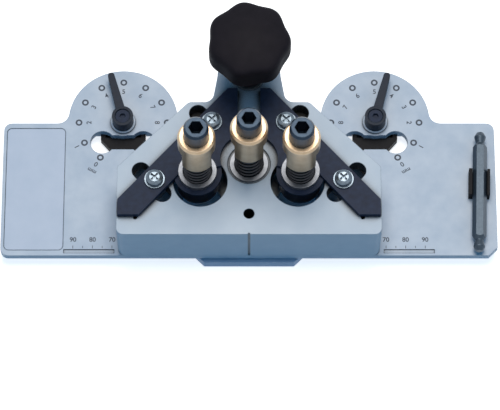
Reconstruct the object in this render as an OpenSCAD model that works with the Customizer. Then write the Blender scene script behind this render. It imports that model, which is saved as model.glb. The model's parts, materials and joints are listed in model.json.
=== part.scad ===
// Hinge drilling jig: a base plate with two dial stops, a drill head with three sprung
// spindles, and a screw clamp that draws a jaw up under the door. All sizes are in millimetres.
// The origin is the cup axis in the plane of the plate's underside. X runs along the door's
// edge, Y runs back towards the edge stops and the clamp knob, and Z is up.

/* [Drilling pattern] */
// Diameter of the hinge cup
cup_d = 35; // [30:1:38]
// Diameter of the dowel holes beside the cup
dowel_d = 10; // [8:1:10]
// Half the spacing of the dowel holes, first setting
pattern_half = 26; // [25:0.5:28]
// Distance of the dowel holes in front of the cup axis, first setting
pattern_off = 5.5; // [4:0.5:7]
// Half the spacing of the dowel holes, second setting
alt_half = 22.5; // [22:0.5:24.5]
// Distance of the dowel holes in front of the cup axis, second setting
alt_off = 9.5; // [7.5:0.5:10]
// Depth of the drilled cup
cup_depth = 13.5; // [12:0.5:14]
// Depth of the drilled dowel holes
dowel_depth = 10.5; // [9.5:0.5:12]
// Height of the drill points over the door at rest
tip_z = 8; // [6.5:0.5:9]

/* [Edge stops] */
// Least distance from the cup's edge to the door's edge
edge_min = 3; // [2:0.5:4]
// Change of that distance from one dial mark to the next
edge_step = 0.5; // [0.4:0.05:0.6]
// Number of steps on a dial
dial_steps = 8; // [7:1:9]
// Angle between dial marks
step_angle = 30; // [26:1:32]
// Dial position of the lever at rest, in steps
rest_step = 4.5; // [4:0.5:5]
// Distance of each dial axis from the middle of the jig
dial_x = 65.4; // [62:0.1:72]
// Reach of a stop's front face in front of its dial axis
stop_reach = 13.25; // [12:0.25:15]
// Half the width of a stop
stop_half = 11.6; // [11:0.1:13]
// Half the width of a stop's flat front face
stop_nose = 6.7; // [5:0.1:8]
// Thickness of a stop
stop_t = 4.6; // [4:0.1:6]
// Distance from dial axis to cam face at rest
cam_rest = 6.5; // [6:0.1:7]
// Radius of the cam shaft
shaft_r = 3.5; // [3:0.1:4]
// Length of a dial lever from its axis to its tip
lever_len = 26; // [22:0.5:30]
// Radius of a lever's hub
lever_hub_r = 5.5; // [5:0.1:6.5]
// Height of a lever's hub
lever_hub_h = 7.4; // [6:0.1:9]

/* [Base plate] */
// Width over both wings
plate_w = 254; // [244:1:280]
// Thickness of the plate
plate_t = 4; // [3.5:0.5:6]
// Distance of the front edge from the cup axis
plate_front = 38.5; // [37:0.5:42]
// Distance of the wings' back edge from the cup axis
wing_back = 35.5; // [33:0.5:38]
// Radius of the round lobes behind the dials
lobe_r = 28.3; // [27:0.1:31]
// Radius of the outer corners
corner_r = 4; // [2:0.5:6]
// Cut of the front corner by the drive bit
corner_cut = 4.6; // [3:0.2:6]
// Radius of the fillets between lobes and wings
lobe_fillet = 6; // [4:0.5:8]
// Width of the label recess
label_w = 30.4; // [24:0.2:34]
// Length of the label recess
label_len = 68.3; // [60:0.1:70]
// Depth of the label recess
label_depth = 0.6; // [0.4:0.1:1.5]

/* [Drill head] */
// Half the width of the head
head_half = 66.8; // [64:0.2:70]
// Height of the head above the plate
head_h = 28.5; // [27:0.5:32]
// Distance of the head's back edge from the cup axis
head_back = 34.5; // [33.5:0.5:36]
// Where the slanted back corners begin, measured from the cup axis
slant_start = -1.5; // [-4:0.5:1]
// Thickness of the head's side walls
head_wall = 6; // [5:0.5:7]
// Thickness of the head's top
head_top_t = 9; // [8:0.5:10]
// Radius of the fixing hole in the front of the head
fix_r = 2.75; // [2:0.05:3.5]
// Distance of the fixing hole in front of the cup axis
fix_y = 27.3; // [26.5:0.1:31]

/* [Spindles] */
// Outer radius of the guide bushes
bush_r = 9.7; // [9.5:0.1:10]
// Radius of the spring's seat in a bush
seat_r = 7.5; // [7.4:0.05:7.8]
// Depth of the spring's seat
seat_depth = 10; // [9.5:0.5:11]
// Radius of a spindle where it runs in its bush
spindle_r = 5; // [4.6:0.1:5.1]
// Radius of a spindle's socket end
socket_end_r = 6.3; // [5.9:0.1:6.5]
// Length of the socket end above the sleeve
socket_end_h = 11; // [9:0.5:14]
// Width across flats of the hex socket
socket_af = 6.5; // [6.4:0.05:7]
// Depth of the hex socket
socket_depth = 12; // [9:0.5:14]
// Outer radius of a depth sleeve
sleeve_r = 9.4; // [9:0.1:9.5]
// Height of a depth sleeve
sleeve_h = 22.8; // [21:0.2:26]
// Height of the sleeve's round collar over its wrench flats
collar_h = 9.2; // [7:0.1:11]
// Width across the sleeve's wrench flats
sleeve_af = 14.4; // [13.4:0.1:15.4]
// Wire diameter of the return springs
wire_d = 1.2; // [0.9:0.1:1.2]
// Number of curls of a return spring
spring_curls = 8; // [6:1:8]

/* [Carrier arms] */
// Width of an arm
arm_w = 13.6; // [13:0.1:14.6]
// Thickness of an arm
arm_t = 3; // [2.5:0.5:4]
// Angle between an arm and the Y axis
arm_turn = 42; // [41:0.5:44]
// Distance of an arm's middle line from the cup axis
arm_offset = 28.7; // [28:0.1:29.2]
// Radius of the arm's thin ear around its bush
ear_r = 12.2; // [11.8:0.1:12.6]
// Thickness of that ear
ear_t = 1.4; // [1.2:0.1:2]
// Half the gap between the arms behind the cup spindle
arm_gap = 5.8; // [5.4:0.1:6.4]
// Half the distance between the two screws of an arm
screw_half = 21.5; // [20.5:0.1:22]
// Radius of the arm screws
arm_screw_r = 2.5; // [2:0.1:2.5]
// Radius of the washers under the arm screws
arm_washer_r = 5.15; // [4.8:0.05:6]

/* [Clamp] */
// Distance of the clamp axis behind the door's edge
clamp_y = 26.25; // [24.25:0.25:28.25]
// Radius of the neck around the clamp stud
neck_r = 16.2; // [15:0.1:17]
// Opening of the clamp
clamp_travel = 25; // [22:1:26]
// Outer radius of the star knob
knob_r = 21.2; // [19:0.1:23]
// Number of lobes of the star knob
knob_lobes = 7; // [6:1:8]
// Height of the star above the head
knob_rise = 30; // [28:0.5:38]
// Thickness of the star
knob_t = 15; // [12:0.5:18]
// Radius of the clamp stud
stud_r = 5; // [4:0.5:5]
// Radius of the jaw's guide pins
pin_r = 2.5; // [2:0.1:2.5]
// Thickness of the clamp jaw
jaw_t = 5.5; // [4.5:0.5:8]
// Half the width of the jaw's front end
jaw_nose = 23; // [20:0.5:26]
// Distance of the jaw's front end from the cup axis
jaw_front = 40.3; // [39.5:0.1:43]
// Width of the jaw's legs beside the drill window
jaw_leg = 8; // [6:0.5:10]
// Gap between plate and jaw when the clamp is closed
jaw_gap = 1; // [0.5:0.1:1.5]

/* [Drive bit] */
// Width across flats of the drive bit
bit_af = 6.35; // [6:0.05:6.35]
// Length of the drive bit
bit_len = 66; // [60:0.5:70]
// Distance of the drive bit from the plate's right edge
bit_inset = 8.7; // [7.5:0.1:14]
// Lean of the drive bit away from the Y axis
bit_lean = 2; // [0:0.5:3]
// Length of the clip
clip_len = 14.5; // [12:0.5:18]
// Thickness of the clip's side walls
clip_wall = 1.6; // [1.2:0.1:2.5]

/* [Hidden] */
$fn = 64;
eps = 0.01;
// Radial clearance of shafts in their bores
run = 0.05;
// Clearance between faces that slide on each other
slide_gap = 0.1;
// Clearance between pieces that pass each other
pass_gap = 0.3;

// Edge distance at rest, and the axes of dials and clamp
edge_rest = edge_min + rest_step * edge_step;
dial_y = cup_d / 2 + edge_rest + stop_reach;
clamp_axis = cup_d / 2 + edge_rest + clamp_y;
turn_to_min = rest_step * step_angle;
turn_to_max = (dial_steps - rest_step) * step_angle;
lever_lean = turn_to_min - 120;
// Cam rise for each radian of turn
cam_lead = edge_step / (step_angle * PI / 180);
cam_high = cam_rest + cam_lead * turn_to_min * PI / 180;
stop_front_travel = cam_high - cam_rest;
pocket_half = cam_high + 0.45;
pocket_back = cam_high + stop_front_travel + 0.35;
stop_back = pocket_back + 2.6;
stop_top = -0.2;
stop_bottom = stop_top - stop_t;
cam_washer_t = 1;
cam_foot = stop_bottom - pass_gap;
rail_w = 2.5;
boss_h = 1;
lever_z = plate_t + boss_h + 0.2;
lever_top = lever_z + lever_hub_h;
lever_bar_z = lever_top - 5;
lever_bar_t = 4;
lever_screw_seat = lever_top - 2.6;

// Levels of the head, arms and spindles
head_top = plate_t + head_h;
cavity_top = head_top - head_top_t;
cavity_front = 21.5;
arm_bottom = head_top + slide_gap;
arm_top = arm_bottom + arm_t;
cup_rim = head_top + 0.3;
side_rim = arm_top + 1.2;
// Rest levels of the depth sleeves, which come down to within stop_gap of the rims
stop_gap = 0.4;
cup_rest = cup_rim + stop_gap + tip_z + cup_depth;
side_rest = side_rim + stop_gap + tip_z + dowel_depth;
cutter_h = 9.5;
bit_joint = tip_z + cutter_h;
bush_bottom = bit_joint + 1.5;
shank_r = 3;
shank_len = 12;
ring_t = 1;
ring_r = spindle_r + 0.5;
ring_groove_r = spindle_r - 0.4;
step_h = sleeve_h - collar_h;

// Drill window through plate and jaw
window_half = pattern_half + dowel_d / 2 + 3;
window_front = cup_d / 2 + 1.5;
window_back = cup_d / 2 + 3.5;

// Clamp neck and levels
neck_root = neck_r + 2.5;
neck_fillet = 5;
jaw_top = -jaw_gap;
jaw_bottom = jaw_top - jaw_t;
jaw_half = window_half + jaw_leg;
knob_washer_t = 1.2;
knob_washer_r = 7.9;
knob_stem_r = 7;
knob_bottom = head_top + knob_washer_t + 0.2;
star_z = head_top + knob_rise;
star_dome = 4;
insert_r = 6;
stud_top = knob_bottom + clamp_travel + 12;
pin_x = 10;
pin_top = head_top - 1.5;

shift = [alt_half - pattern_half, pattern_off - alt_off];
// Boss that holds a bush under its arm, and the hole in the head that clears it in both settings
boss_r = bush_r + 0.9;
boss_bottom = bush_bottom + 0.5;
boss_hole_r = boss_r + norm(shift) / 2 + 0.5;
boss_hole_off = shift / 2 + [0.35, -2.2];
// Places of an arm's two screws
arm_screws_at = [
    for (along = [-screw_half, screw_half]) turned([arm_offset, along - 0.62 * arm_offset], arm_turn)];
// Ends of the arms, front and back
arm_front = plate_front - 9.6;
arm_back = head_back + 6.5;
head_screws_at = [[45, -30], [12, head_back + 0.5]];
head_screw_r = 2;
head_screw_len = cavity_top + 5;
bit_r = bit_af / 2 / cos(30);
bit_z = plate_t + 1.4 + bit_af / 2;
bit_x = plate_w / 2 - bit_inset;
bit_y = -5;

// Helpers

function unit(v) = v / norm(v);

function turned(p, a) = [p[0] * cos(a) - p[1] * sin(a), p[0] * sin(a) + p[1] * cos(a)];

// Arc of radius r that rounds the corner p1 between p0 and p2
function corner_arc(p0, p1, p2, r, steps = 6) =
    r == 0 ? [p1] :
    let (
        a = unit(p0 - p1),
        b = unit(p2 - p1),
        half = acos(a * b) / 2,
        centre = p1 + unit(a + b) * r / sin(half),
        from = p1 + a * r / tan(half) - centre,
        to = p1 + b * r / tan(half) - centre,
        start = atan2(from[1], from[0]),
        sweep = ((atan2(to[1], to[0]) - start + 540) % 360) - 180
    )
    [for (i = [0:steps]) centre + r * [cos(start + sweep * i / steps), sin(start + sweep * i / steps)]];

function rounded(pts, radii) =
    let (n = len(pts))
    [for (i = [0:n - 1]) each corner_arc(pts[(i + n - 1) % n], pts[i], pts[(i + 1) % n], radii[i])];

// The other half of an outline, run through from back to front
function mirrored(pts) = [for (i = [len(pts) - 1:-1:0]) [-pts[i][0], pts[i][1]]];

// Right half of an outline, from front to back, closed with its mirror image
function both_sides(pts) = concat(pts, mirrored(pts));

function both_radii(radii) = concat(radii, [for (i = [len(radii) - 1:-1:0]) radii[i]]);

// What is drawn on the right, or its mirror image on the left
module on_side(right) {
    mirror([right ? 0 : 1, 0, 0]) children();
}

module both() {
    for (right = [true, false]) on_side(right) children();
}

// Frame of the right arm: X square to the arm, Y along it towards the knob
module arm_frame() {
    rotate(arm_turn) children();
}

module at_arm_screws() {
    for (p = arm_screws_at) translate(p) arm_frame() children();
}

module at_dial() {
    translate([dial_x, dial_y, 0]) children();
}

module rounded_rect(w, d, r) {
    x = w / 2;
    y = d / 2;
    polygon(rounded([[-x, -y], [x, -y], [x, y], [-x, y]], [r, r, r, r]));
}

module tube(r_out, r_in, z0, z1) {
    translate([0, 0, z0]) difference() {
        cylinder(r = r_out, h = z1 - z0);
        translate([0, 0, -eps]) cylinder(r = r_in, h = z1 - z0 + 2 * eps);
    }
}

module bore(r, z0, z1) {
    translate([0, 0, z0]) cylinder(r = r, h = z1 - z0);
}

module hex(af, z0, z1) {
    translate([0, 0, z0]) cylinder(r = af / 2 / cos(30), h = z1 - z0, $fn = 6);
}

// Countersunk screw whose head is flush with z = 0, pointing up
module flat_head_screw(r, head_r, len) {
    difference() {
        union() {
            cylinder(r1 = head_r, r2 = r, h = head_r - r);
            cylinder(r = r, h = len);
        }
        hex(r * 1.3, -eps, r * 0.8);
    }
}

module flat_head_hole(r, head_r, len) {
    translate([0, 0, -eps]) cylinder(r1 = head_r + eps, r2 = r, h = head_r - r + eps);
    cylinder(r = r, h = len);
}

// Base plate

function arc(centre, r, from, to, steps) =
    [for (i = [0:steps]) let (a = from + (to - from) * i / steps) centre + r * [cos(a), sin(a)]];

// Round lobe behind the right dial with the fillets that lead into it
function lobe_edge() =
    let (
        lobe = [dial_x, dial_y + 1.2],
        rise = wing_back + lobe_fillet - lobe[1],
        reach = sqrt(pow(lobe_r + lobe_fillet, 2) - pow(rise, 2)),
        meet = atan2(rise, reach)
    )
    concat(
        arc(lobe + [reach, rise], lobe_fillet, -90, meet - 180, 6),
        arc(lobe, lobe_r, meet, 180 - meet, 48),
        arc(lobe + [-reach, rise], lobe_fillet, -meet, -90, 6));

module plate_outline() {
    edge = plate_w / 2;
    front = corner_arc([-edge, -plate_front], [edge, -plate_front], [edge, wing_back], corner_r);
    back = corner_arc([edge, -plate_front], [edge, wing_back], [dial_x, wing_back], corner_r);
    neck = corner_arc([dial_x, wing_back], [neck_root, wing_back], [neck_r, clamp_axis], neck_fillet);
    cut = [[edge - corner_cut, -plate_front], [edge, corner_cut - plate_front]];
    side = concat(back, lobe_edge(), neck, [[neck_r, clamp_axis]]);
    polygon(concat(cut, side, mirrored(side), mirrored(front)));
    neck_end();
}

// Viewing window in front of a dial: two round ends joined by a waist that clears the boss
module dial_window() {
    lobe_x = 10.5;
    lobe_back = 11.2;
    difference() {
        union() {
            for (x = [-lobe_x, lobe_x]) translate([x, -lobe_back]) circle(r = 6.3);
            translate([-lobe_x, -15.2]) square([2 * lobe_x, 8]);
        }
        circle(r = 7.6);
    }
}

module drill_window() {
    translate([0, (window_back - window_front) / 2])
        rounded_rect(2 * window_half, window_back + window_front, 4);
}

module label_place() {
    translate([-plate_w / 2 + 1.6 + label_w / 2, -1.4]) children();
}

module stop_rails() {
    for (x = [-stop_half - 0.15 - rail_w, stop_half + 0.15])
        translate([x, -4, stop_bottom + 0.3]) cube([rail_w, 4 + stop_back, -stop_bottom - 0.3]);
}

// Shallow groove along the scale on each wing
module scale_groove() {
    translate([head_half + 2, -plate_front + 1.3, plate_t - 0.5]) cube([26, 2.1, 1]);
}

module base_plate() {
    color("#AFC0D4") difference() {
        union() {
            linear_extrude(plate_t) plate_outline();
            both() at_dial() {
                bore(6.4, 0, plate_t + boss_h);
                stop_rails();
            }
        }
        translate([0, 0, -1]) linear_extrude(plate_t + 2) drill_window();
        both() at_dial() {
            translate([0, 0, -1]) linear_extrude(plate_t + 2) dial_window();
            bore(shaft_r + run, -1, plate_t + boss_h + 1);
        }
        both() scale_groove();
        translate([0, 0, plate_t - label_depth]) linear_extrude(1 + label_depth)
            label_place() rounded_rect(label_w, label_len, 2.5);
        clamp_holes(-1, plate_t + 1);
        both() for (p = head_screws_at) translate(p) flat_head_hole(head_screw_r, 4, plate_t + 1);
        translate([0, -fix_y, 0]) bore(fix_r, -1, plate_t + 1);
        translate([bit_x, 0, 0]) bore(2, -1, plate_t + 1);
    }
}

module label_plate() {
    color("#C3D0DE") translate([0, 0, plate_t - label_depth]) linear_extrude(label_depth - 0.1)
        label_place() rounded_rect(label_w - 0.4, label_len - 0.4, 2.3);
}

// Drill head

module neck_end() {
    translate([0, clamp_axis]) circle(r = neck_r);
}

module head_outline() {
    slant = head_back - slant_start;
    polygon(rounded(
        both_sides([[head_half, -plate_front], [head_half, slant_start], [head_half - slant, head_back],
                    [neck_root, head_back], [neck_r, clamp_axis]]),
        both_radii([3.5, 2, 3, neck_fillet, 0])));
    neck_end();
}

module head_cavity() {
    back = head_back - head_wall + 0.5;
    side = head_half - head_wall;
    slant = head_half + slant_start - head_wall * sqrt(2);
    polygon(rounded(both_sides([[side, -cavity_front], [side, slant - side], [slant - back, back]]),
                    both_radii([3, 2, 3])));
}

// Slots along the way that the arms' screws take from one setting to the other
module arm_slots() {
    slot_r = 4.6;
    half = 8.4;
    lead = 1.6;
    for (p = arm_screws_at)
        translate([p[0] + lead, p[1], cavity_top - 1]) rotate(atan2(-shift[1], -shift[0]))
            linear_extrude(head_top_t + 2) {
                for (x = [-half, half]) translate([x, 0]) circle(r = slot_r);
                translate([-half, -slot_r]) square([2 * half, 2 * slot_r]);
            }
}

module clamp_holes(z0, z1) {
    translate([0, clamp_axis, 0]) bore(stud_r + run, z0, z1);
    both() translate([pin_x, clamp_axis, 0]) bore(pin_r + run, z0, min(z1, pin_top + 0.5));
}

// One layer of the head, with the holes that go down through all of it
module head_layer(z0, z1) {
    difference() {
        translate([0, 0, z0]) linear_extrude(z1 - z0) head_outline();
        both() for (p = head_screws_at)
            translate(p) bore(head_screw_r, z0 - 1, min(z1 + 1, head_screw_len + 0.5));
        translate([0, -fix_y, 0]) bore(fix_r, z0 - 1, z1 + 1);
        clamp_holes(z0 - 1, z1 + 1);
        translate([-0.6, -plate_front - 1, z0 - 1]) cube([1.2, 1.7, z1 - z0 + 2]);
    }
}

// Walls under the deck, round the hollow that the nuts and the cutter need
module head_skirt() {
    color("#B4C4D6") difference() {
        head_layer(plate_t, cavity_top);
        translate([0, 0, plate_t - 1]) linear_extrude(head_h - head_top_t + 2) head_cavity();
    }
}

module drill_head() {
    color("#B4C4D6") difference() {
        head_layer(cavity_top, head_top);
        bore(bush_r, cavity_top - 1, head_top + 1);
        bore(bush_r + 1.3, head_top - 0.8, head_top + 1);
        both() {
            at_side_bush() {
                bore(boss_r + 0.7, cavity_top - 1, head_top + 1);
                translate(boss_hole_off) bore(boss_hole_r, cavity_top - 1, head_top + 1);
            }
            arm_slots();
            translate([57.3, -29.3, 0]) bore(1.1, head_top - 6, head_top + 1);
        }
    }
}

module head_screws() {
    color("silver") both() for (p = head_screws_at)
        translate(p) flat_head_screw(head_screw_r, 4, head_screw_len);
}

// Guide bush with a rim that stops the sleeve and a seat for the spring
module guide_bush(rim) {
    color("#B8AFB5") difference() {
        bore(bush_r, bush_bottom, rim);
        bore(spindle_r + run, bush_bottom - 1, rim);
        bore(seat_r, rim - seat_depth, rim + 1);
    }
}

module at_side_bush() {
    translate([pattern_half, -pattern_off, 0]) children();
}

// Left bush place for what isn't mirrored: all three springs are wound the same way
module at_left_bush() {
    translate([-pattern_half, -pattern_off, 0]) children();
}

// Carrier arms

// Slanted bar with a web to the ear, cut off square to the jig and round the cup bush
module arm_outline() {
    difference() {
        intersection() {
            union() {
                arm_frame() translate([arm_offset - arm_w / 2, -head_half]) square([arm_w, 2 * head_half]);
                polygon([[arm_gap, arm_back], [arm_gap, 0], [pattern_half, -pattern_off],
                         turned([arm_offset, -0.75 * arm_offset], arm_turn)]);
            }
            translate([arm_gap, -arm_front]) square([head_half - 0.5 - arm_gap, arm_front + arm_back]);
        }
        translate(-shift / 2) circle(r = bush_r + 0.5 + norm(shift) / 2);
    }
}

module carrier_arm() {
    color("#2A2C3B") difference() {
        union() {
            translate([0, 0, arm_bottom]) linear_extrude(arm_t) arm_outline();
            at_side_bush() {
                bore(ear_r, arm_bottom, arm_bottom + ear_t);
                bore(boss_r, boss_bottom, arm_bottom + ear_t);
            }
        }
        at_side_bush() bore(bush_r, boss_bottom - 1, arm_top + 1);
        at_arm_screws() bore(arm_screw_r + 0.2, arm_bottom - 1, arm_top + 1);
    }
}

arm_washer_t = 1;
arm_nut_t = 4;
arm_nut_w = 8;
screw_head_h = 3;
nut_top = cavity_top - slide_gap;

module arm_washers() {
    color("#D5D9DE") at_arm_screws()
        tube(arm_washer_r, arm_screw_r + 0.1, arm_top, arm_top + arm_washer_t);
}

module arm_screws() {
    head_z = arm_top + arm_washer_t;
    color("#E2E6EA") at_arm_screws() difference() {
        union() {
            bore(arm_screw_r, nut_top - arm_nut_t - 1, head_z);
            translate([0, 0, head_z]) rotate_extrude() polygon(concat([[0, 0]],
                rounded([[4.4, 0], [4.4, screw_head_h * 0.75], [2.6, screw_head_h]], [0, 1, 0]),
                [[0, screw_head_h]]));
        }
        for (a = [0, 90]) rotate(a)
            translate([-2.4, -0.5, head_z + screw_head_h - 1.6]) cube([4.8, 1, 2]);
    }
}

module arm_nuts() {
    color("#8C9196") at_arm_screws() difference() {
        translate([-arm_nut_w / 2, -arm_nut_w / 2, nut_top - arm_nut_t])
            cube([arm_nut_w, arm_nut_w, arm_nut_t]);
        bore(arm_screw_r, nut_top - arm_nut_t - 1, nut_top + 1);
    }
}

// Spindles

// Depth sleeve whose foot is at z0: a round collar over two wrench flats
module depth_sleeve(z0) {
    z1 = z0 + sleeve_h;
    step_z = z0 + step_h;
    color("#B9A873") difference() {
        rotate_extrude() polygon([
            [spindle_r + run, z0], [sleeve_r - 0.6, z0], [sleeve_r, z0 + 0.6], [sleeve_r, z1 - 1.2],
            [sleeve_r - 1, z1], [socket_end_r + run, z1], [socket_end_r + run, step_z],
            [spindle_r + run, step_z]]);
        for (a = [0, 180]) rotate(a)
            translate([sleeve_af / 2, -sleeve_r, z0 - 1]) cube([sleeve_r, 2 * sleeve_r, step_h + 1]);
    }
}

// Spindle that hangs in the sleeve whose foot is at z0
module spindle(z0) {
    shoulder = z0 + step_h + slide_gap;
    top = z0 + sleeve_h + socket_end_h;
    foot = bit_joint + slide_gap;
    groove = z0 - slide_gap - ring_t;
    color("#4A5C69") difference() {
        rotate_extrude() polygon([
            [0, foot], [spindle_r, foot], [spindle_r, groove], [ring_groove_r, groove],
            [ring_groove_r, groove + ring_t], [spindle_r, groove + ring_t], [spindle_r, shoulder],
            [socket_end_r, shoulder], [socket_end_r, top - 1.4], [socket_end_r - 1, top], [0, top]]);
        hex(socket_af, top - socket_depth, top + 1);
        bore(shank_r, foot - 1, foot + shank_len);
        set_screw_place() bore(1.5, 0, spindle_r + 1);
    }
}

module retaining_ring(z0) {
    groove = z0 - slide_gap - ring_t;
    color("#3A3D42") tube(ring_r, ring_groove_r, groove, groove + ring_t);
}

module set_screw_place() {
    translate([0, 0, bit_joint + 4]) rotate([90, 0, 0]) children();
}

module set_screw() {
    color("#2B2B2E") set_screw_place() difference() {
        bore(1.5, shank_r, spindle_r - 0.3);
        hex(1.5, spindle_r - 1.2, spindle_r);
    }
}

cutter_point = 1.4;
cutter_rim_h = 5;
gash_w = 6;
gash_start = 2.5;
spur_w = 2;
face_start = 4;
face_w = 9;
face_depth = 1.2;
face_land = 3;

// Cup cutter with two chip gashes, two faces set back behind the spurs, and a centre point
module cup_cutter() {
    rim_z = tip_z + cutter_point;
    crown_z = rim_z + cutter_rim_h;
    color("#9AA3AB") {
        difference() {
            rotate_extrude() polygon([
                [0, rim_z], [cup_d / 2, rim_z], [cup_d / 2, crown_z], [spindle_r, bit_joint],
                [0, bit_joint]]);
            for (a = [0, 180]) rotate(a)
                translate([gash_start, 0, rim_z - 1]) cube([cup_d, gash_w, bit_joint - rim_z - 2]);
            for (a = [0, 180]) rotate(a)
                translate([spur_w - cup_d / 2, face_start - cup_d / 2, rim_z - 1])
                    cube([cup_d / 2 - spur_w - face_land, face_w, face_depth + 1]);
        }
        translate([0, 0, tip_z]) cylinder(r1 = 0.3, r2 = 2, h = rim_z - tip_z);
        bore(shank_r, bit_joint, bit_joint + slide_gap + shank_len);
    }
}

// Dowel drill with a brad point and two straight chip flutes
module dowel_drill() {
    r = dowel_d / 2;
    lip_z = tip_z + 2;
    color("#9AA3AB") {
        difference() {
            bore(r, lip_z, bit_joint);
            for (a = [0, 180]) rotate(a) translate([r, r * 0.35, 0]) bore(r * 0.55, lip_z - 1, bit_joint - 1);
        }
        translate([0, 0, tip_z]) cylinder(r1 = 0.3, r2 = 1.2, h = lip_z - tip_z);
        bore(shank_r, bit_joint, bit_joint + slide_gap + shank_len);
    }
}

// Return springs

coil_r = seat_r - wire_d / 2 - 0.2;
curl_rings = 10;
wire_sides = 6;

// Room between the spring's ends and their seats
end_room = 0.15;

function coil_point(t, z0, z1) =
    [coil_r * cos(360 * t), coil_r * sin(360 * t), z0 + (z1 - z0) * t / spring_curls];

function coil_tangent(t, z0, z1) =
    unit([-coil_r * 2 * PI * sin(360 * t), coil_r * 2 * PI * cos(360 * t), (z1 - z0) / spring_curls]);

// Ring of wire points around the coil at turn t, moved along the wire by run_out
function wire_ring(t, z0, z1, run_out) =
    let (
        along = coil_tangent(t, z0, z1),
        out = [cos(360 * t), sin(360 * t), 0],
        up = cross(out, along),
        centre = coil_point(t, z0, z1) + along * run_out
    )
    [for (k = [0:wire_sides - 1])
        centre + wire_d / 2 * (cos(360 * k / wire_sides) * out + sin(360 * k / wire_sides) * up)];

function spring_rings(z0, z1) = concat(
    [wire_ring(0, z0, z1, -wire_d)],
    [for (i = [0:spring_curls * curl_rings]) wire_ring(i / curl_rings, z0, z1, 0)],
    [wire_ring(spring_curls, z0, z1, wire_d)]);

function side_faces(rings) = [
    for (i = [0:rings - 2], k = [0:wire_sides - 1])
        let (a = i * wire_sides + k, b = i * wire_sides + (k + 1) % wire_sides)
            each [[a, a + wire_sides, b], [b, a + wire_sides, b + wire_sides]]];

function cap_faces(first, flip) = [
    for (k = [1:wire_sides - 2])
        flip ? [first, first + k + 1, first + k] : [first, first + k, first + k + 1]];

// Least gap between one curl and the next, measured on the wire's middle line
function least_gap(z0, z1) =
    let (n = spring_curls * curl_rings, pts = [for (i = [0:n]) coil_point(i / curl_rings, z0, z1)])
        min([for (i = [0:n - curl_rings / 2], j = [i + curl_rings / 2:n]) norm(pts[i] - pts[j])]) - wire_d;

// Spring between its seat under the rim and the foot of the sleeve
module return_spring(rim, sleeve_foot) {
    z0 = rim - seat_depth + wire_d / 2 + end_room;
    z1 = sleeve_foot - wire_d / 2 - end_room;
    rings = spring_rings(z0, z1);
    last = (len(rings) - 1) * wire_sides;
    echo(spring_least_gap = least_gap(z0, z1));
    color("#50555C") polyhedron(
        points = [for (r = rings) each r],
        faces = concat(side_faces(len(rings)), cap_faces(0, false), cap_faces(last, true)),
        convexity = 8);
}

// Dial levers, cams and stops

// Point of the cam whose outward normal points at angle a, on a left-hand dial.
// The cam is an involute, so the stop moves by the same amount for each degree of turn.
function cam_point(a) =
    let (height = cam_rest + cam_lead * (-90 - a) * PI / 180)
        height * [cos(a), sin(a)] - cam_lead * [-sin(a), cos(a)];

module cam_outline() {
    mirror([1, 0]) polygon([for (a = [-90 - turn_to_min:5:-90 + turn_to_max]) cam_point(a)]);
    circle(r = shaft_r + 0.9);
}

module stop_cam() {
    color("#6B7280") at_dial() difference() {
        union() {
            translate([0, 0, stop_bottom]) linear_extrude(stop_t) cam_outline();
            bore(shaft_r + 0.9, cam_foot, stop_top);
            bore(shaft_r, stop_top, lever_screw_seat);
        }
        bore(2, lever_screw_seat - 6, lever_screw_seat + 1);
        bore(1.5, cam_foot - 1, cam_foot + 6);
    }
}

module cam_washer() {
    color("#9AA0A8") at_dial() translate([0, 0, cam_foot - cam_washer_t]) difference() {
        cylinder(r = pocket_half + 2.2, h = cam_washer_t);
        flat_head_hole(1.5, 2.5, cam_washer_t + 1);
    }
}

module cam_screw() {
    color("silver") at_dial() translate([0, 0, cam_foot - cam_washer_t])
        flat_head_screw(1.5, 2.5, 6);
}

// Sliding stop with chamfered front corners and a pocket for its cam
module stop_slider() {
    cheek = stop_reach - (stop_half - stop_nose) * 1.15;
    color("#15181D") at_dial() translate([0, 0, stop_bottom]) linear_extrude(stop_t) difference() {
        polygon(both_sides([[stop_nose, -stop_reach], [stop_half, -cheek], [stop_half, stop_back]]));
        translate([-pocket_half, -cam_rest - slide_gap])
            square([2 * pocket_half, cam_rest + slide_gap + pocket_back]);
    }
}

module lever() {
    tip_r = 1.7;
    root_half = 2.5;
    color("#1F2B3A") at_dial() difference() {
        union() {
            bore(lever_hub_r, lever_z, lever_top);
            rotate(-lever_lean) translate([0, 0, lever_bar_z]) linear_extrude(lever_bar_t) {
                polygon([[-root_half, 0], [root_half, 0], [tip_r, lever_len - tip_r],
                         [-tip_r, lever_len - tip_r]]);
                translate([0, lever_len - tip_r]) circle(r = tip_r);
            }
        }
        bore(shaft_r, lever_z - 1, lever_screw_seat);
        bore(lever_hub_r - 1.5, lever_screw_seat, lever_top + 1);
    }
}

module lever_screw() {
    color("#7C838C") at_dial() difference() {
        union() {
            bore(2, lever_screw_seat - 6, lever_screw_seat);
            bore(lever_hub_r - 1.8, lever_screw_seat, lever_top - 0.5);
        }
        hex(3, lever_top - 2, lever_top);
    }
}

// Clamp

module star_outline() {
    scallop_r = 9;
    scallop_depth = 1.6;
    turn = -3;
    difference() {
        circle(r = knob_r);
        for (k = [0:knob_lobes - 1]) rotate(360 * (k + 0.5) / knob_lobes + turn)
            translate([knob_r + scallop_r - scallop_depth, 0]) circle(r = scallop_r);
    }
}

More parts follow.
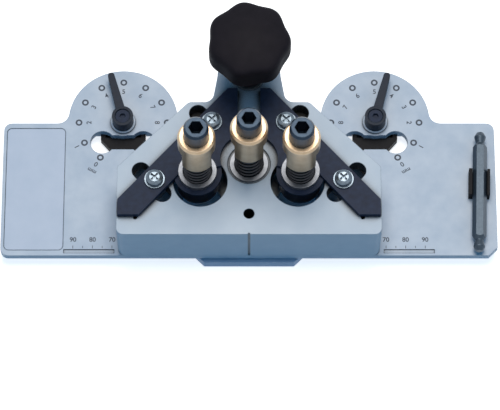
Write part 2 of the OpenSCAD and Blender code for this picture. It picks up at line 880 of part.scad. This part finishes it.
module clamp_knob() {
    top = star_z + knob_t;
    color("#221F26") translate([0, clamp_axis, 0]) difference() {
        union() {
            intersection() {
                translate([0, 0, star_z]) linear_extrude(knob_t + star_dome) star_outline();
                rotate_extrude() polygon(concat([[0, star_z]],
                    rounded([[knob_r - 1.6, star_z], [knob_r, star_z + 1.6], [knob_r, top - 2],
                             [knob_r - 3, top + 0.6], [0, top + star_dome]], [0, 1, 2, 6, 0])));
            }
            rotate_extrude() polygon([[0, knob_bottom], [knob_stem_r, knob_bottom],
                [knob_stem_r, star_z - 8], [knob_r - 10, star_z + 1], [0, star_z + 1]]);
        }
        bore(insert_r, knob_bottom - 1, stud_top + 2);
    }
}

module knob_insert() {
    color("#A8ADB3") translate([0, clamp_axis, 0])
        tube(insert_r, stud_r + run, knob_bottom, stud_top + 1.8);
}

module knob_washer() {
    color("silver") translate([0, clamp_axis, 0])
        tube(knob_washer_r, stud_r + 0.3, head_top, head_top + knob_washer_t);
}

module clamp_jaw() {
    widen = jaw_half - jaw_nose;
    color("#8DA9C6") difference() {
        translate([0, 0, jaw_bottom]) linear_extrude(jaw_t) difference() {
            union() {
                polygon(rounded(
                    both_sides([[jaw_nose, -jaw_front], [jaw_half, widen - jaw_front],
                                [jaw_half, window_back + 1], [neck_r, clamp_axis]]),
                    both_radii([1, 3, 6, 0])));
                neck_end();
            }
            drill_window();
        }
        translate([0, clamp_axis, 0]) bore(stud_r, jaw_bottom - 1, 0);
        both() translate([pin_x, clamp_axis, 0]) bore(pin_r, jaw_bottom - 1, 0);
    }
}

module clamp_stud() {
    color("#9CA3AB") translate([0, clamp_axis, 0]) bore(stud_r, jaw_bottom, stud_top);
}

module jaw_guide_pins() {
    color("#9CA3AB") both() translate([pin_x, clamp_axis, 0]) bore(pin_r, jaw_bottom, pin_top);
}

// Drive bit and its clip

module bit_frame() {
    translate([bit_x, bit_y, bit_z]) rotate(-bit_lean) children();
}

module drive_bit() {
    ball_r = bit_af / 2 - 0.1;
    ball_at = 2.4;
    neck = 2.1;
    neck_at = 6;
    cone_at = 8.5;
    half = bit_len / 2;
    color("#5F6B7A") bit_frame() rotate([-90, 0, 0]) intersection() {
        translate([0, 0, -half]) cylinder(r = bit_r, h = bit_len, $fn = 6);
        rotate_extrude() polygon(rounded(
            [[0, -half], [ball_r * 0.55, -half], [ball_r, ball_at - half], [neck, neck_at - half],
             [bit_r + 0.1, cone_at - half], [bit_r + 0.1, half - cone_at], [neck, half - neck_at],
             [ball_r, half - ball_at], [ball_r * 0.55, half], [0, half]],
            [0, 0.6, 1.2, 1.2, 0, 0, 1.2, 1.2, 0.6, 0]));
    }
}

module bit_clip() {
    width = 2 * (bit_r + 0.15 + clip_wall);
    clip_top = bit_z + 1.6;
    color("#0A0F1A") {
        difference() {
            translate([bit_x, 0, 0]) rotate(-bit_lean)
                translate([-width / 2, -clip_len / 2, plate_t]) cube([width, clip_len, clip_top - plate_t]);
            bit_frame() translate([-bit_r - 0.15, -bit_len / 2, -bit_af / 2 - slide_gap])
                cube([2 * bit_r + 0.3, bit_len, 20]);
        }
        translate([bit_x, 0, 0]) bore(2, 0.4, plate_t);
    }
}

base_plate();
head_skirt();
drill_head();
head_screws();
label_plate();
bit_clip();
guide_bush(cup_rim);  // cup_bush
knob_washer();
on_side(false) carrier_arm();  // left_arm
on_side(false) arm_washers();  // left_arm_washers
on_side(false) arm_screws();  // left_arm_screws
on_side(false) arm_nuts();  // left_arm_nuts
on_side(false) at_side_bush() guide_bush(side_rim);  // left_bush
on_side(true) carrier_arm();  // right_arm
on_side(true) arm_washers();  // right_arm_washers
on_side(true) arm_screws();  // right_arm_screws
on_side(true) arm_nuts();  // right_arm_nuts
on_side(true) at_side_bush() guide_bush(side_rim);  // right_bush
depth_sleeve(cup_rest);  // cup_sleeve
return_spring(cup_rim, cup_rest);  // cup_spring
spindle(cup_rest);  // cup_spindle
retaining_ring(cup_rest);  // cup_retaining_ring
cup_cutter();
set_screw();  // cup_set_screw
on_side(false) at_side_bush() depth_sleeve(side_rest);  // left_sleeve
at_left_bush() return_spring(side_rim, side_rest);  // left_spring
on_side(false) at_side_bush() spindle(side_rest);  // left_spindle
on_side(false) at_side_bush() retaining_ring(side_rest);  // left_retaining_ring
on_side(false) at_side_bush() dowel_drill();  // left_drill
on_side(false) at_side_bush() set_screw();  // left_set_screw
on_side(true) at_side_bush() depth_sleeve(side_rest);  // right_sleeve
on_side(true) at_side_bush() return_spring(side_rim, side_rest);  // right_spring
on_side(true) at_side_bush() spindle(side_rest);  // right_spindle
on_side(true) at_side_bush() retaining_ring(side_rest);  // right_retaining_ring
on_side(true) at_side_bush() dowel_drill();  // right_drill
on_side(true) at_side_bush() set_screw();  // right_set_screw
on_side(false) lever();  // left_lever
on_side(false) lever_screw();  // left_lever_screw
on_side(false) stop_cam();  // left_stop_cam
on_side(false) stop_slider();  // left_stop_slider
on_side(false) cam_washer();  // left_cam_washer
on_side(false) cam_screw();  // left_cam_screw
on_side(true) lever();  // right_lever
on_side(true) lever_screw();  // right_lever_screw
on_side(true) stop_cam();  // right_stop_cam
on_side(true) stop_slider();  // right_stop_slider
on_side(true) cam_washer();  // right_cam_washer
on_side(true) cam_screw();  // right_cam_screw
clamp_knob();
knob_insert();
clamp_jaw();
clamp_stud();
jaw_guide_pins();
drive_bit();
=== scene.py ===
"""Hinge drilling jig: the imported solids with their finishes, wound springs, star knob and dial marks."""

import json
import math

import bmesh
import bpy
from mathutils import Matrix, Vector


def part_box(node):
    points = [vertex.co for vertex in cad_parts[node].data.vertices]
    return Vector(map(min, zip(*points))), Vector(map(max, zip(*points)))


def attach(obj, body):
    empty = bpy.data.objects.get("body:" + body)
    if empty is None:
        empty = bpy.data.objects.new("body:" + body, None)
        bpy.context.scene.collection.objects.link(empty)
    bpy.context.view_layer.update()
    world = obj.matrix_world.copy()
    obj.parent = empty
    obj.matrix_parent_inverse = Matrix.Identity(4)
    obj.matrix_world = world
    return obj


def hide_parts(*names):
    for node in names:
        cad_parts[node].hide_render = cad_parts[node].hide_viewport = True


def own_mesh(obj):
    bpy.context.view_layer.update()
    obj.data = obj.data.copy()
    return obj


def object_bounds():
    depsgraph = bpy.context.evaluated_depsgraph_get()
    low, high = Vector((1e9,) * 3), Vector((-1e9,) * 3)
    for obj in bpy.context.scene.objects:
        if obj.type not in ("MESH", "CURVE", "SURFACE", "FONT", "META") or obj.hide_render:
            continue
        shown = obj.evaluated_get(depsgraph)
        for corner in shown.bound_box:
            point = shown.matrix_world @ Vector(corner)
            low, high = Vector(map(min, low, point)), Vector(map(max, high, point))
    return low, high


MM = 0.001

# Places on the part, in millimetres
DIAL_X, DIAL_Y = 65.4, 36.0
PLATE_TOP = 4.0
CLAMP_Y = 49.0
# Height at which the head's walls meet its deck: the corners are softened only above this closed joint
HEAD_SEAM = 26.0

# Angle of a dial's 0 on the left wing, and the angle from one number to the next, in degrees
DIAL_START, DIAL_STEP = 240, 30

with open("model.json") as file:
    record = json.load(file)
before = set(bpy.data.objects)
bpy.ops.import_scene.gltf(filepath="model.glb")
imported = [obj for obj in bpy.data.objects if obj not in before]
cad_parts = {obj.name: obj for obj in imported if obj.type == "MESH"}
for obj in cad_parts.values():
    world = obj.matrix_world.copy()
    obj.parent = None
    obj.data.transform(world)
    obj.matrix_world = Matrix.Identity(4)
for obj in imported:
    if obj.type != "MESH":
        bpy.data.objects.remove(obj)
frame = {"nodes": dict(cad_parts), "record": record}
cad_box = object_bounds()
scene = bpy.context.scene
scene.view_settings.view_transform = "Standard"


# Camera, floor and light


def stand(name, data, place, target):
    """Puts the camera or a lamp at a place, pointed at a target."""
    item = bpy.data.objects.new(name, data)
    item.location = place
    item.rotation_mode = "QUATERNION"
    item.rotation_quaternion = (target - place).to_track_quat("-Z", "Y")
    scene.collection.objects.link(item)
    return item


def place_camera():
    """Long lens, high in front of the jig, square to its front edge."""
    elevation, distance = math.radians(67), 1.605
    target = Vector((0.5, -10.5, PLATE_TOP)) * MM
    back = Vector((0, -math.cos(elevation), math.sin(elevation)))
    lens = bpy.data.cameras.new("camera")
    lens.lens, lens.sensor_width = 225, 36
    lens.clip_start, lens.clip_end = 0.05, 20
    scene.camera = stand("camera", lens, target + back * distance, target)


def add(tree, kind, inputs=None, **settings):
    """Adds one node, with its settings, and links or sets its inputs."""
    node = tree.nodes.new("ShaderNode" + kind)
    for name, value in settings.items():
        setattr(node, name, value)
    for name, value in (inputs or {}).items():
        if isinstance(value, bpy.types.NodeSocket):
            tree.links.new(value, node.inputs[name])
        else:
            node.inputs[name].default_value = value
    return node


def linear(hex_colour):
    """An sRGB hex colour as linear RGBA."""
    parts = [int(hex_colour[i : i + 2], 16) / 255 for i in (1, 3, 5)]
    return (*(c / 12.92 if c <= 0.04045 else ((c + 0.055) / 1.055) ** 2.4 for c in parts), 1.0)


def blank(name):
    """A new material with no nodes."""
    material = bpy.data.materials.new(name)
    material.use_nodes = True
    material.node_tree.nodes.clear()
    return material


def seen_directly(tree):
    """1 for what the camera sees, straight or in a mirror or glass, and 0 for stray light."""
    path = add(tree, "LightPath")
    mirrored = add(tree, "Math", {0: path.outputs["Is Glossy Ray"], 1: path.outputs["Is Transmission Ray"]},
                   operation="MAXIMUM")
    return add(tree, "Math", {0: path.outputs["Is Camera Ray"], 1: mirrored.outputs[0]},
               operation="MAXIMUM").outputs[0]


def studio_paper():
    """Matt white paper, lit up to pure white except in the deep shade right under the drill head.
    It is clear from below and to stray light, so that the underside is seen and lit."""
    white_lift = 0.75
    shade = (("X", 0.0, 45.0), ("Y", 5.0, 33.0))  # middle and half width of the shade, in millimetres
    material = blank("matt_studio_paper")
    tree = material.node_tree
    matt = add(tree, "BsdfDiffuse", {"Color": linear("#F4F5F6")})
    place = add(tree, "SeparateXYZ", {0: add(tree, "TexCoord").outputs["Object"]})
    outside = []
    for axis, middle, half in shade:
        away = add(tree, "Math", {0: place.outputs[axis], 1: middle * MM}, operation="SUBTRACT")
        away = add(tree, "Math", {0: away.outputs[0]}, operation="ABSOLUTE")
        outside.append(add(tree, "Math", {0: away.outputs[0], 1: half * MM}, operation="GREATER_THAN"))
    lift = add(tree, "Math", {0: outside[0].outputs[0], 1: outside[1].outputs[0]}, operation="MAXIMUM")
    lift = add(tree, "Math", {0: lift.outputs[0], 1: seen_directly(tree)}, operation="MULTIPLY")
    lift = add(tree, "Math", {0: lift.outputs[0], 1: white_lift}, operation="MULTIPLY")
    glow = add(tree, "Emission", {"Strength": lift.outputs[0]})
    paper = add(tree, "AddShader", {0: matt.outputs[0], 1: glow.outputs[0]})
    below = add(tree, "NewGeometry").outputs["Backfacing"]
    stray = add(tree, "LightPath").outputs["Is Diffuse Ray"]
    clear = add(tree, "Math", {0: below, 1: stray}, operation="MAXIMUM")
    air = add(tree, "BsdfTransparent")
    sheet = add(tree, "MixShader", {0: clear.outputs[0], 1: paper.outputs[0], 2: air.outputs[0]})
    add(tree, "OutputMaterial", {"Surface": sheet.outputs[0]})
    return material


def lay_floor():
    """Wide pale floor just under the part."""
    reach, gap = 4.0, 0.2 * MM
    bm = bmesh.new()
    bmesh.ops.create_grid(bm, x_segments=1, y_segments=1, size=reach,
                          matrix=Matrix.Translation((0, 0, cad_box[0].z - gap)))
    mesh = bpy.data.meshes.new("floor")
    bm.to_mesh(mesh)
    bm.free()
    mesh.materials.append(studio_paper())
    floor = bpy.data.objects.new("floor", mesh)
    scene.collection.objects.link(floor)


def light_studio():
    """Soft light from above and behind, a weak one from the right, and a dim blue-grey room."""
    for name, place, size, power, tint in (("key", (0.05, 0.31, 1.35), 0.75, 15.0, "#FFF3E6"),
                                           ("fill", (0.9, -0.2, 1.1), 0.9, 0.4, "#E4EEFF")):
        lamp = bpy.data.lights.new(name, "AREA")
        lamp.size = size
        lamp.energy = power
        lamp.color = linear(tint)[:3]
        stand(name, lamp, Vector(place), Vector((0, 0, 0)))
    world = bpy.data.worlds.new("studio")
    scene.world = world
    world.use_nodes = True
    tree = world.node_tree
    tree.nodes.clear()
    room = add(tree, "Mix", {0: seen_directly(tree), 6: linear("#4F7D9B"), 7: linear("#FFFFFF")},
               data_type="RGBA")
    backdrop = add(tree, "Background", {"Color": room.outputs[2]})
    add(tree, "OutputWorld", {"Surface": backdrop.outputs[0]})


# Finishes


def mottled(tree, base, other, grain_mm):
    """Two shades mixed by noise whose grain is grain_mm across, as a colour socket."""
    where = add(tree, "TexCoord").outputs["Object"]
    noise = add(tree, "TexNoise", {"Vector": where, "Scale": 1 / (grain_mm * MM), "Detail": 3.0})
    level = add(tree, "MapRange", {"Value": noise.outputs[0], "From Min": 0.25, "From Max": 0.75})
    mix = add(tree, "Mix", {0: level.outputs[0], 6: linear(base), 7: linear(other)}, data_type="RGBA")
    return mix.outputs[2]


def grain_bump(tree, grain_mm, height_mm, strength):
    """All-over roughness with bumps of that size, as a bump node. Real blasting, plating and moulding
    leave a grain of about 0.1 mm, which wouldn't show, so it is drawn 3 to 8 times as coarse."""
    where = add(tree, "TexCoord").outputs["Object"]
    noise = add(tree, "TexNoise", {"Vector": where, "Scale": 1 / (grain_mm * MM), "Detail": 2.0})
    return add(tree, "Bump", {"Height": noise.outputs[0], "Distance": height_mm * MM, "Strength": strength})


def turned_bump(tree, pitch_mm, height_mm):
    """Lathe lines around a vertical axis, as a bump node. A real feed of about 0.1 mm wouldn't show,
    so the lines are drawn about 3 times as coarse."""
    band = 0.314  # a wave texture of scale 1 repeats at this distance
    where = add(tree, "TexCoord").outputs["Object"]
    lines = add(tree, "TexWave", {"Vector": where, "Scale": band / (pitch_mm * MM), "Distortion": 0.6},
                bands_direction="Z")
    return add(tree, "Bump", {"Height": lines.outputs[1], "Distance": height_mm * MM, "Strength": 0.35})


def rub(tree, colour, wear_and_painted_light, soft, plain):
    """A colour socket that shows the corner colour in patches along the corners, where the softened
    surface turns away from the plain one: wear on some finishes, painted highlight or shade on others."""
    patch_mm = 5.0
    where = add(tree, "TexCoord").outputs["Object"]
    square = add(tree, "VectorMath", {0: soft, 1: plain}, operation="DOT_PRODUCT")
    corner = add(tree, "MapRange", {"Value": square.outputs["Value"], "From Min": 0.98, "From Max": 0.75,
                                    "To Max": 1.5})
    patches = add(tree, "TexNoise", {"Vector": where, "Scale": 1 / (patch_mm * MM), "Detail": 3.0})
    amount = add(tree, "Math", {0: corner.outputs[0], 1: patches.outputs[0]}, operation="MULTIPLY",
                 use_clamp=True)
    mix = add(tree, "Mix", {0: amount.outputs[0], 6: colour, 7: wear_and_painted_light}, data_type="RGBA")
    return mix.outputs[2]


def finish(material, colour, bump=None, edge=None, above=None, wear_and_painted_light=None, gloss=0.5, **sockets):
    """Completes a material from a colour socket and a bump node. edge is the radius in millimetres that
    softens its corners, or only those above a height, and the corner colour shown there is wear on some
    finishes and a painted highlight or painted shade on others."""
    tree = material.node_tree
    if edge is not None:
        plain = add(tree, "NewGeometry").outputs["Normal"]
        soft = add(tree, "Bevel", {"Radius": edge * MM}, samples=4).outputs[0]
        if above is not None:
            place = add(tree, "SeparateXYZ", {0: add(tree, "TexCoord").outputs["Object"]})
            high = add(tree, "Math", {0: place.outputs["Z"], 1: above * MM}, operation="GREATER_THAN")
            soft = add(tree, "Mix", {0: high.outputs[0], 4: plain, 5: soft}, data_type="VECTOR").outputs[1]
        tree.links.new(soft, bump.inputs["Normal"])
        if wear_and_painted_light is not None:
            colour = rub(tree, colour, wear_and_painted_light, soft, plain)
    shader = add(tree, "BsdfPrincipled", {"Base Color": colour, "Specular IOR Level": gloss, **sockets})
    if bump is not None:
        tree.links.new(bump.outputs[0], shader.inputs["Normal"])
    add(tree, "OutputMaterial", {"Surface": shader.outputs[0]})
    return material


def anodised_aluminium(name, base, other, roughness, above=None, fittings=False):
    """Bead-blasted and anodised: an even, slightly cloudy blue-grey with a satin sheen. A painted highlight
    makes the front corners pale, a thin dark line of painted shade follows the other corners, and painted
    shade darkens the holes, as it does the ground beside the fittings if those are counted."""
    hole_mm, front_mm = 12.0, -37.8  # reach of the painted shade, and the Y from which a corner is in front
    material = blank(name)
    tree = material.node_tree
    # Painted shade: the colour goes to near-black where occlusion finds holes, and beside counted fittings
    open_sky = add(tree, "AmbientOcclusion", {"Distance": hole_mm * MM}, samples=8,
                   only_local=not fittings)
    unshaded = add(tree, "MapRange", {"Value": open_sky.outputs["AO"], "From Min": 0.45, "From Max": 0.9})
    cloudy = mottled(tree, base, other, 9.0)
    hole_shade = add(tree, "Mix", {0: unshaded.outputs[0], 6: linear("#10141A"), 7: cloudy}, data_type="RGBA")
    # Corner colours by place: a pale painted highlight on the front corners, painted shade on the others
    place = add(tree, "SeparateXYZ", {0: add(tree, "TexCoord").outputs["Object"]})
    front = add(tree, "Math", {0: place.outputs["Y"], 1: front_mm * MM}, operation="LESS_THAN")
    corner = add(tree, "Mix", {0: front.outputs[0], 6: linear("#42586D"), 7: linear("#E8EEF3")},
                 data_type="RGBA")
    return finish(material, hole_shade.outputs[2], grain_bump(tree, 0.45, 0.02, 0.25), edge=0.5, above=above,
                  wear_and_painted_light=corner.outputs[2], gloss=0.3, Roughness=roughness)


def black_oxide_steel():
    """Blackened steel strip: blue-black with a dull sheen and faint mill marks."""
    material = blank("black_oxide_steel")
    tree = material.node_tree
    return finish(material, mottled(tree, "#141F33", "#1F2D45", 3.0), grain_bump(tree, 0.35, 0.015, 0.3),
                  edge=0.35, wear_and_painted_light=linear("#5A6675"), gloss=0.14, Roughness=0.5)


def zinc_plated_steel():
    """Bright zinc on small fasteners: grey, a little cloudy, with sharp highlights."""
    material = blank("zinc_plated_steel")
    tree = material.node_tree
    return finish(material, mottled(tree, "#54626F", "#73818E", 1.5), grain_bump(tree, 0.3, 0.008, 0.2),
                  edge=0.2, Metallic=0.9, Roughness=0.3)


def ground_steel():
    """Ground bush steel: bright rims with lathe lines."""
    material = blank("ground_steel")
    tree = material.node_tree
    return finish(material, mottled(tree, "#696F78", "#7C828B", 2.0), turned_bump(tree, 0.3, 0.01),
                  edge=0.3, Metallic=0.9, Roughness=0.42)


def turned_brass():
    """Turned and wrench-flatted brass, dulled to a pale straw colour by handling."""
    material = blank("turned_brass")
    tree = material.node_tree
    # The pale silver-white corner colour is partly wear and partly a painted highlight on the collar's rim.
    return finish(material, mottled(tree, "#B29B7F", "#C5B094", 4.0), turned_bump(tree, 0.25, 0.01),
                  edge=0.5, wear_and_painted_light=linear("#E9EAE4"), Metallic=0.85, Roughness=0.32)


def blued_steel():
    """Hardened and blued spindle steel: dark blue-grey with lathe lines."""
    material = blank("blued_steel")
    tree = material.node_tree
    return finish(material, mottled(tree, "#1B2A3A", "#243546", 3.0), turned_bump(tree, 0.3, 0.008),
                  edge=0.5, wear_and_painted_light=linear("#5F7183"), Metallic=0.7, Roughness=0.34)


def drawn_spring_wire():
    """Oiled spring wire: nearly black, with a bright line along each curl."""
    material = blank("drawn_spring_wire")
    return finish(material, mottled(material.node_tree, "#2E3035", "#3B3D42", 1.0), Metallic=0.7,
                  Roughness=0.36)


def ground_tool_steel():
    """Ground cutting edges of the bits: bright, with a fine grit."""
    material = blank("ground_tool_steel")
    tree = material.node_tree
    return finish(material, mottled(tree, "#8F989F", "#A7AFB6", 1.5), grain_bump(tree, 0.3, 0.01, 0.25),
                  edge=0.2, Metallic=0.9, Roughness=0.3)


def stove_enamel():
    """Dark stove enamel on the levers: blue-black with a soft gloss."""
    material = blank("stove_enamel")
    tree = material.node_tree
    return finish(material, mottled(tree, "#101B2A", "#182637", 2.5), grain_bump(tree, 0.6, 0.02, 0.2),
                  edge=0.6, wear_and_painted_light=linear("#465260"), gloss=0.14, Roughness=0.42)


def moulded_nylon():
    """Moulded black nylon: matt, with a fine spark-eroded grain."""
    material = blank("moulded_nylon")
    tree = material.node_tree
    return finish(material, mottled(tree, "#0B0D12", "#12151B", 1.2), grain_bump(tree, 0.4, 0.03, 0.4),
                  edge=0.4, gloss=0.12, Roughness=0.55)


def moulded_phenolic():
    """Moulded phenolic knob: black with a warm cast, rubbed dull by hands."""
    material = blank("moulded_phenolic")
    tree = material.node_tree
    return finish(material, mottled(tree, "#111017", "#18161D", 5.0), grain_bump(tree, 0.8, 0.03, 0.25),
                  gloss=0.09, Roughness=0.6)


def phosphated_steel():
    """Phosphated bit steel: grey, slightly mottled, with dull flats."""
    material = blank("phosphated_steel")
    tree = material.node_tree
    return finish(material, mottled(tree, "#32404D", "#3F4D5B", 1.2), grain_bump(tree, 0.3, 0.015, 0.35),
                  edge=0.35, wear_and_painted_light=linear("#7D8B99"), Metallic=0.6, Roughness=0.4)


def etched_ink():
    """Dark grey ink in the etched marks, paler where use has thinned it."""
    material = blank("etched_ink")
    return finish(material, mottled(material.node_tree, "#1D2938", "#364558", 0.5), Roughness=0.6)


def dress_solids():
    """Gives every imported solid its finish, and returns the finishes by slot."""
    by_slot = {
        "anodised_plate": anodised_aluminium("anodised_plate", "#A9BACD", "#BDCAD9", 0.42),
        # The head counts the fittings, so painted shade darkens its deck beside them and under the knob.
        "cast_head": anodised_aluminium("anodised_casting", "#B2C2D2", "#BCCAD8", 0.45, above=HEAD_SEAM,
                                        fittings=True),
        "label_sheet": anodised_aluminium("anodised_label", "#AFBFD4", "#B7C5D9", 0.36),
        "jaw_aluminium": anodised_aluminium("anodised_jaw", "#93B0CE", "#9DB9D5", 0.4),
        "zinc_steel": zinc_plated_steel(),
        "blackened_steel": black_oxide_steel(),
        "bush_steel": ground_steel(),
        "sleeve_brass": turned_brass(),
        "tool_steel": blued_steel(),
        "spring_steel": drawn_spring_wire(),
        "cutter_steel": ground_tool_steel(),
        "lever_paint": stove_enamel(),
        "black_plastic": moulded_nylon(),
        "knob_plastic": moulded_phenolic(),
        "bit_steel": phosphated_steel(),
    }
    for part in frame["record"]["subparts"]:
        mesh = frame["nodes"][part["node"]].data
        mesh.materials.clear()
        mesh.materials.append(by_slot[part["material_slot"]])
    return by_slot


# Pieces that the solids leave plain


def keep(bm, name, material, body, smooth=True):
    """Turns a finished bmesh into a piece that rides on a body."""
    bmesh.ops.remove_doubles(bm, verts=bm.verts, dist=1e-7)
    bmesh.ops.recalc_face_normals(bm, faces=bm.faces)
    for face in bm.faces:
        face.smooth = smooth
    mesh = bpy.data.meshes.new(name)
    bm.to_mesh(mesh)
    bm.free()
    mesh.materials.append(material)
    piece = bpy.data.objects.new(name, mesh)
    scene.collection.objects.link(piece)
    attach(piece, body)
    return piece


def verts_of(made):
    """The vertices among what an operator made."""
    return [item for item in made["geom"] if isinstance(item, bmesh.types.BMVert)]


def edges_of(made):
    """The edges among what an operator made."""
    return [item for item in made["geom"] if isinstance(item, bmesh.types.BMEdge)]


def wind_spring(side, material):
    """Return spring: round wire wound in one run from the bush's seat to the sleeve."""
    wire, sides, curls, steps = 1.2 * MM, 10, 8, 24
    node, joint = f"{side}_spring", f"{side}_feed"
    low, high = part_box(node)
    axis = (low + high) / 2
    coil = (high.x - low.x - wire) / 2
    bottom, top = low.z + wire / 2, high.z - wire / 2
    bm = bmesh.new()
    across = Matrix.Translation((axis.x + coil, axis.y, bottom)) @ Matrix.Rotation(math.pi / 2, 4, "X")
    bmesh.ops.create_circle(bm, segments=sides, radius=wire / 2, cap_ends=True, matrix=across)
    bmesh.ops.spin(bm, geom=bm.verts[:] + bm.edges[:] + bm.faces[:], cent=axis, axis=(0, 0, 1),
                   dvec=(0, 0, (top - bottom) / (curls * steps)), angle=2 * math.pi * curls,
                   steps=curls * steps)
    piece = keep(bm, f"{side}_wound_spring", material, joint)
    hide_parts(node)
    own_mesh(piece)


def mould_knob(material):
    """Star knob: one ring drawn down round the insert, up the flared stem and over a wavy rim to a
    low dome."""
    lobes, around, twist = 7, 12, math.radians(3)
    reach, dip = 21.2, 1.6
    bore, stem_r, lip, clear = 6.1, 7.0, 0.6, 0.5
    low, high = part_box("clamp_knob")
    foot, top = low.z / MM, high.z / MM
    bore_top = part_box("knob_insert")[1].z / MM + clear
    # Radius and height of each ring of the bore and the stem
    stem = ((bore - lip, bore_top), (bore, bore_top), (bore, bore_top - lip), (bore, foot + lip),
            (bore, foot), (stem_r, foot), (stem_r, foot + lip), (stem_r, foot + 18), (7.6, foot + 22),
            (9.0, foot + 26), (11.0, top - 18.8))
    # Share of the reach, and depth below the top, of each ring of the star
    star = ((0.86, 18.95), (0.955, 18.6), (1.0, 17.4), (1.0, 14.0), (1.0, 9.0), (1.0, 6.0), (0.955, 4.2),
            (0.87, 3.3), (0.68, 2.1), (0.45, 1.0), (0.22, 0.25))
    levels = [(radius, height, 0.0) for radius, height in stem]
    levels += [(share * reach, top - below, dip / reach) for share, below in star]
    bm = bmesh.new()
    ring = bmesh.ops.create_circle(bm, segments=lobes * around, radius=MM, cap_ends=True)["verts"]
    edges = bm.edges[:]
    for step, (radius, height, wave) in enumerate(levels):
        if step > 0:
            made = bmesh.ops.extrude_edge_only(bm, edges=edges)
            edges, ring = edges_of(made), verts_of(made)
        for v in ring:
            turn = math.atan2(v.co.y, v.co.x)
            swing = 0.5 - 0.5 * math.cos(lobes * (turn + twist))
            out = radius * (1 - wave * swing) * MM
            v.co = (out * math.cos(turn), out * math.sin(turn), height * MM)
    bmesh.ops.contextual_create(bm, geom=edges)
    bmesh.ops.translate(bm, verts=bm.verts, vec=(0, CLAMP_Y * MM, 0))
    piece = keep(bm, "star_knob", material, "knob")
    rounder = piece.modifiers.new("rounding", "SUBSURF")
    rounder.levels = rounder.render_levels = 2
    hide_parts("clamp_knob")


def on_plate(x, y):
    """The place of a mark on the plate's top."""
    return Matrix.Translation((x * MM, y * MM, PLATE_TOP * MM))


def stamp(bm, text, height_mm, x, y, turn):
    """Adds printed characters, centred on a point of the plate's top and turned by degrees."""
    digit_share, stroke = 0.7, 0.068  # a digit's height in a font of size 1, and what the strokes gain in mm
    curve = bpy.data.curves.new("stamp", "FONT")
    curve.body = text
    curve.size = height_mm * MM / digit_share
    curve.offset = stroke * MM
    curve.align_x = "CENTER"
    curve.align_y = "CENTER"
    letters = bpy.data.objects.new("stamp", curve)
    scene.collection.objects.link(letters)
    mesh = bpy.data.meshes.new_from_object(letters)
    mesh.transform(on_plate(x, y) @ Matrix.Rotation(math.radians(turn), 4, "Z"))
    bm.from_mesh(mesh)
    bpy.data.objects.remove(letters)
    bpy.data.curves.remove(curve)
    bpy.data.meshes.remove(mesh)


def ring_mark(bm, x, y):
    """Adds one small printed ring of the dial."""
    radius, hole_share, sides = 1.8, 0.5, 24
    place = on_plate(x, y)
    outer = bmesh.ops.create_circle(bm, segments=sides, radius=radius * MM, matrix=place)["verts"]
    edges = list({e for v in outer for e in v.link_edges})
    inner = verts_of(bmesh.ops.extrude_edge_only(bm, edges=edges))
    bmesh.ops.scale(bm, verts=inner, vec=(hole_share, hole_share, 1), space=place.inverted())


def tick(bm, x, y, length):
    """Adds one scale line."""
    half_width = 0.15
    shape = on_plate(x, y) @ Matrix.Diagonal((half_width, length / 2, 1, 1))
    bmesh.ops.create_grid(bm, x_segments=1, y_segments=1, size=MM, matrix=shape)


def by_number(side, number, reach):
    """A point at a reach from a dial's middle, in line with a number, and how a character turns there."""
    angle = DIAL_START - DIAL_STEP * number
    if side > 0:
        angle = 180 - angle
    out = math.radians(angle)
    return side * DIAL_X + reach * math.cos(out), DIAL_Y + reach * math.sin(out), angle - 90


def print_marks(material):
    """Numbered rings round each dial, and the millimetre scale along each wing's front edge."""
    ring_reach, inner_reach, outer_reach, unit_reach = 22.9, 17.6, 27.2, 31.5
    dial_digit, unit_letter, scale_digit = 2.5, 2.2, 2.4
    tick_y, digit_y, long_tick, short_tick = -33.8, -29.8, 1.6, 1.1
    ink = 0.02
    bm = bmesh.new()
    for side in (-1, 1):
        for number in range(9):
            x, y, turn = by_number(side, number, ring_reach)
            ring_mark(bm, x, y)
            # The first two numbers stand outside their rings, because the window leaves no room inside
            reach = outer_reach if number < 2 else inner_reach
            stamp(bm, str(number), dial_digit, *by_number(side, number, reach))
        stamp(bm, "mm", unit_letter, *by_number(side, 0, unit_reach))
        for distance in range(70, 95, 5):
            numbered = distance % 10 == 0
            tick(bm, side * distance, tick_y, long_tick if numbered else short_tick)
            if numbered:
                stamp(bm, str(distance), scale_digit, side * distance, digit_y, 0)
    raised = bmesh.ops.extrude_face_region(bm, geom=bm.faces[:], use_keep_orig=True)
    bmesh.ops.translate(bm, verts=verts_of(raised), vec=(0, 0, ink * MM))
    piece = keep(bm, "plate_marks", material, "base", smooth=False)


place_camera()
lay_floor()
light_studio()
finishes = dress_solids()
for spindle in ("cup", "left", "right"):
    wind_spring(spindle, finishes["spring_steel"])
mould_knob(finishes["knob_plastic"])
print_marks(etched_ink())
